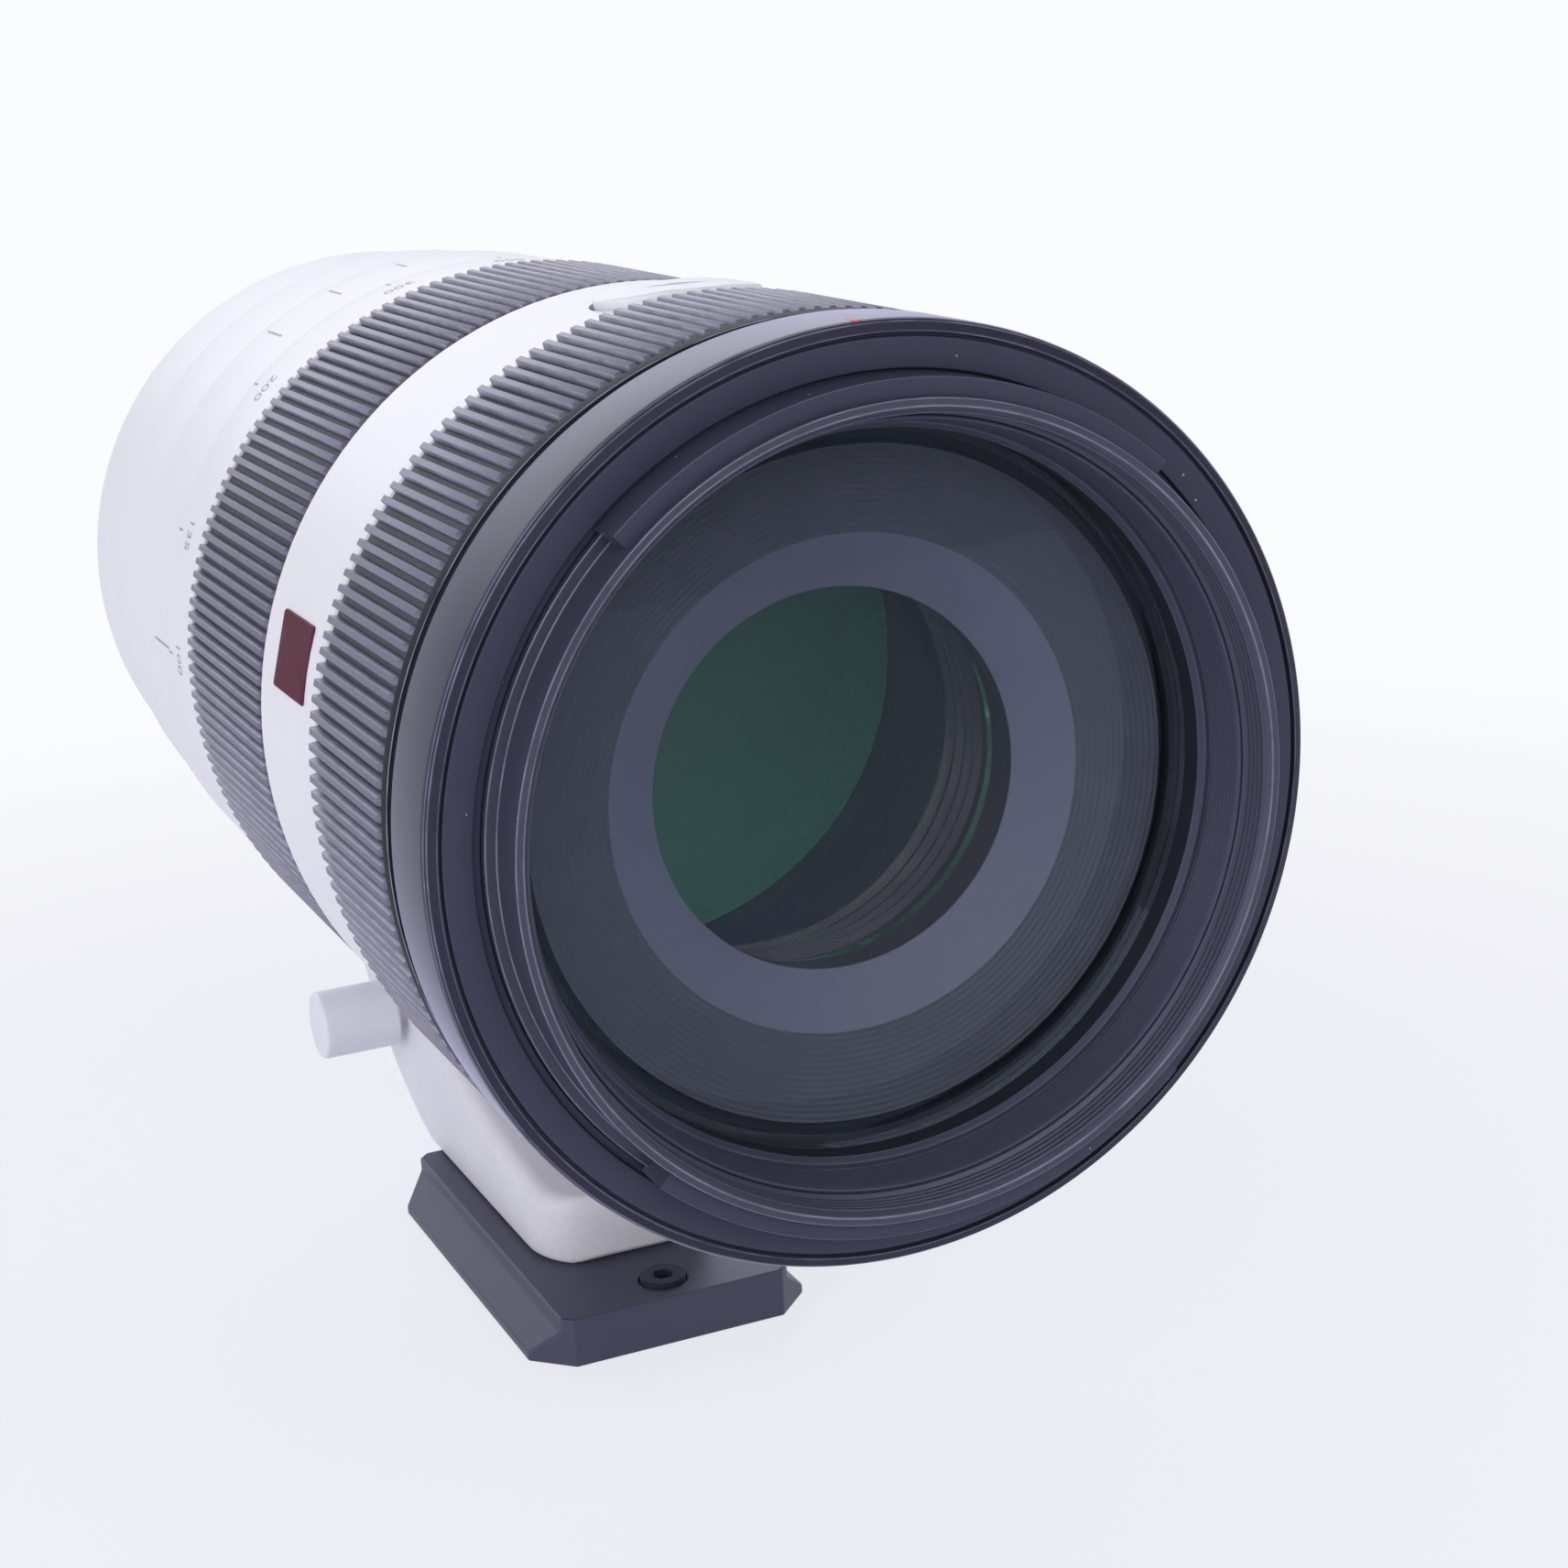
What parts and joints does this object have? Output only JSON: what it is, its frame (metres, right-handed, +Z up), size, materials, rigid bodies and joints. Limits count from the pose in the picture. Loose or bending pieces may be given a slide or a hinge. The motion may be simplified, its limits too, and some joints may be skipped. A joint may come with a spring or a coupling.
{
  "type": "camera zoom lens",
  "caption": "Extending telephoto zoom lens on a turning tripod collar: ribbed zoom and focus rings, cam-driven front barrel, hold buttons, slide switches, iris and dovetail foot plate.",
  "frame": {"origin": "middle of the dovetail plate's underside, on which the part stands", "axes": "+Z up, the lens looks along -Y, its mount is at the +Y end, +X is to the right for someone facing the front element"},
  "size_m": [0.093, 0.2104, 0.1319],
  "materials": {
    "white_body": "satin heat-reflecting paint",
    "foot_paint": "satin paint",
    "black_alloy": "black anodised",
    "black_plastic": "matte",
    "grip_rubber": "matte, fine ribs",
    "steel": "satin",
    "contact_gold": "plated",
    "lens_glass": "coated",
    "board": "satin",
    "blade_film": "satin black film"
  },
  "bodies": {
    "collar": {"collar_ring": "white_body", "tripod_foot": "foot_paint", "quick_plate": "black_alloy", "plate_screw": "steel", "stop_screw": "steel"},
    "knob": {"lock_knob": "foot_paint"},
    "barrel": {"rear_barrel": "white_body", "mid_barrel": "white_body", "guide_tube": "black_alloy", "relay_tube": "black_alloy", "switch_panel": "white_body", "mount_flange": "steel", "mount_screws": "steel", "mount_seal": "grip_rubber", "contact_block": "black_plastic", "contact_pins": "contact_gold", "rear_baffle": "black_plastic", "rear_cell": "black_plastic", "rear_element": "lens_glass", "circuit_board": "board", "iris_housing": "black_plastic"},
    "front": {"front_ring": "black_plastic", "filter_ring": "black_alloy", "front_retainer": "black_plastic", "front_element": "lens_glass", "front_baffle": "black_plastic", "second_element": "lens_glass", "extension_tube": "black_alloy", "cam_followers": "steel"},
    "zoom": {"zoom_sleeve": "white_body", "zoom_grip": "grip_rubber", "cam_tube": "black_alloy"},
    "focus": {"focus_sleeve": "black_alloy", "focus_grip": "grip_rubber"},
    "tension": {"tension_ring": "white_body"},
    "hold_top": {"hold_button_top": "white_body"},
    "hold_side": {"hold_button_side": "white_body"},
    "hold_bottom": {"hold_button_bottom": "white_body"},
    "mode_slider": {"switch_focus_mode": "black_plastic"},
    "manual_slider": {"switch_manual": "black_plastic"},
    "range_slider": {"switch_range": "black_plastic"},
    "steady_slider": {"switch_steady": "black_plastic"},
    "variator": {"variator_cell": "black_plastic", "variator_element": "lens_glass"},
    "focus_group": {"focus_cell": "black_plastic", "focus_element": "lens_glass"},
    "steady_frame": {"stabiliser_frame": "black_plastic"},
    "steady_cell": {"stabiliser_cell": "black_plastic", "stabiliser_element": "lens_glass"},
    "iris_drive": {"iris_ring": "black_plastic"},
    "blade_1": {"iris_blade_1": "blade_film"},
    "blade_2": {"iris_blade_2": "blade_film"},
    "blade_3": {"iris_blade_3": "blade_film"},
    "blade_4": {"iris_blade_4": "blade_film"},
    "blade_5": {"iris_blade_5": "blade_film"},
    "blade_6": {"iris_blade_6": "blade_film"},
    "blade_7": {"iris_blade_7": "blade_film"},
    "blade_8": {"iris_blade_8": "blade_film"},
    "blade_9": {"iris_blade_9": "blade_film"}
  },
  "joints": [
    {"name": "lock_turn", "type": "hinge", "parent": "collar", "child": "knob", "pos_m": [-0.0187, 0.0436, 0.02303], "axis": [-1, 0, 0], "range_deg": [0, 270]},
    {"name": "barrel_turn", "type": "hinge", "parent": "collar", "child": "barrel", "pos_m": [0, 0.0612, 0.0854], "axis": [0, -1, 0], "continuous": true},
    {"name": "zoom_turn", "type": "hinge", "parent": "barrel", "child": "zoom", "pos_m": [0, -0.0177, 0.0854], "axis": [0, -1, 0], "range_deg": [0, 90]},
    {"name": "front_extend", "type": "slide", "parent": "barrel", "child": "front", "axis": [0, -1, 0], "range_m": [0, 0.071]},
    {"name": "variator_shift", "type": "slide", "parent": "barrel", "child": "variator", "axis": [0, 1, 0], "range_m": [0, 0.014]},
    {"name": "focus_turn", "type": "hinge", "parent": "barrel", "child": "focus", "pos_m": [0, -0.0727, 0.0854], "axis": [0, -1, 0], "continuous": true},
    {"name": "focus_shift", "type": "slide", "parent": "barrel", "child": "focus_group", "axis": [0, -1, 0], "range_m": [-0.005, 0.005]},
    {"name": "tension_turn", "type": "hinge", "parent": "barrel", "child": "tension", "pos_m": [0, 0.02125, 0.0854], "axis": [0, -1, 0], "range_deg": [0, 50]},
    {"name": "hold_top_press", "type": "slide", "parent": "barrel", "child": "hold_top", "axis": [0, 0, -1], "range_m": [0, 0.0006], "stiffness_N_per_m": 800, "springref_m": -0.0004},
    {"name": "hold_side_press", "type": "slide", "parent": "barrel", "child": "hold_side", "axis": [-1, 0, 0], "range_m": [0, 0.0006], "stiffness_N_per_m": 800, "springref_m": -0.0004},
    {"name": "hold_bottom_press", "type": "slide", "parent": "barrel", "child": "hold_bottom", "axis": [0, 0, 1], "range_m": [0, 0.0006], "stiffness_N_per_m": 800, "springref_m": -0.0004},
    {"name": "mode_slide", "type": "slide", "parent": "barrel", "child": "mode_slider", "axis": [0, -1, 0], "range_m": [0, 0.0025]},
    {"name": "manual_slide", "type": "slide", "parent": "barrel", "child": "manual_slider", "axis": [0, -1, 0], "range_m": [0, 0.0025]},
    {"name": "range_slide", "type": "slide", "parent": "barrel", "child": "range_slider", "axis": [0, -1, 0], "range_m": [0, 0.0025]},
    {"name": "steady_slide", "type": "slide", "parent": "barrel", "child": "steady_slider", "axis": [0, -1, 0], "range_m": [0, 0.0025]},
    {"name": "steady_across", "type": "slide", "parent": "barrel", "child": "steady_frame", "axis": [1, 0, 0], "range_m": [-0.001, 0.001], "stiffness_N_per_m": 200},
    {"name": "steady_upright", "type": "slide", "parent": "steady_frame", "child": "steady_cell", "axis": [0, 0, 1], "range_m": [-0.001, 0.001], "stiffness_N_per_m": 200},
    {"name": "iris_turn", "type": "hinge", "parent": "barrel", "child": "iris_drive", "pos_m": [0, 0.0116, 0.0854], "axis": [0, -1, 0], "range_deg": [0, 2.84]},
    {"name": "blade_1_swing", "type": "hinge", "parent": "barrel", "child": "blade_1", "pos_m": [0.01777, 0.0158, 0.10031], "axis": [0, -1, 0], "range_deg": [0, 25]},
    {"name": "blade_2_swing", "type": "hinge", "parent": "barrel", "child": "blade_2", "pos_m": [0.00403, 0.0154, 0.10825], "axis": [0, -1, 0], "range_deg": [0, 25]},
    {"name": "blade_3_swing", "type": "hinge", "parent": "barrel", "child": "blade_3", "pos_m": [-0.0116, 0.015, 0.10549], "axis": [0, -1, 0], "range_deg": [0, 25]},
    {"name": "blade_4_swing", "type": "hinge", "parent": "barrel", "child": "blade_4", "pos_m": [-0.0218, 0.0146, 0.09334], "axis": [0, -1, 0], "range_deg": [0, 25]},
    {"name": "blade_5_swing", "type": "hinge", "parent": "barrel", "child": "blade_5", "pos_m": [-0.0218, 0.0142, 0.07747], "axis": [0, -1, 0], "range_deg": [0, 25]},
    {"name": "blade_6_swing", "type": "hinge", "parent": "barrel", "child": "blade_6", "pos_m": [-0.0116, 0.0138, 0.06531], "axis": [0, -1, 0], "range_deg": [0, 25]},
    {"name": "blade_7_swing", "type": "hinge", "parent": "barrel", "child": "blade_7", "pos_m": [0.00403, 0.0134, 0.06255], "axis": [0, -1, 0], "range_deg": [0, 25]},
    {"name": "blade_8_swing", "type": "hinge", "parent": "barrel", "child": "blade_8", "pos_m": [0.01777, 0.013, 0.07049], "axis": [0, -1, 0], "range_deg": [0, 25]},
    {"name": "blade_9_swing", "type": "hinge", "parent": "barrel", "child": "blade_9", "pos_m": [0.0232, 0.0126, 0.0854], "axis": [0, -1, 0], "range_deg": [0, 25]}
  ],
  "couplings": [
    {"joint": "front_extend", "follows": "zoom_turn", "m_per_rad": 0.0452},
    {"joint": "variator_shift", "follows": "zoom_turn", "m_per_rad": 0.008912},
    {"joint": "blade_1_swing", "follows": "iris_turn", "ratio": 8.8},
    {"joint": "blade_2_swing", "follows": "iris_turn", "ratio": 8.8},
    {"joint": "blade_3_swing", "follows": "iris_turn", "ratio": 8.8},
    {"joint": "blade_4_swing", "follows": "iris_turn", "ratio": 8.8},
    {"joint": "blade_5_swing", "follows": "iris_turn", "ratio": 8.8},
    {"joint": "blade_6_swing", "follows": "iris_turn", "ratio": 8.8},
    {"joint": "blade_7_swing", "follows": "iris_turn", "ratio": 8.8},
    {"joint": "blade_8_swing", "follows": "iris_turn", "ratio": 8.8},
    {"joint": "blade_9_swing", "follows": "iris_turn", "ratio": 8.8}
  ]
}
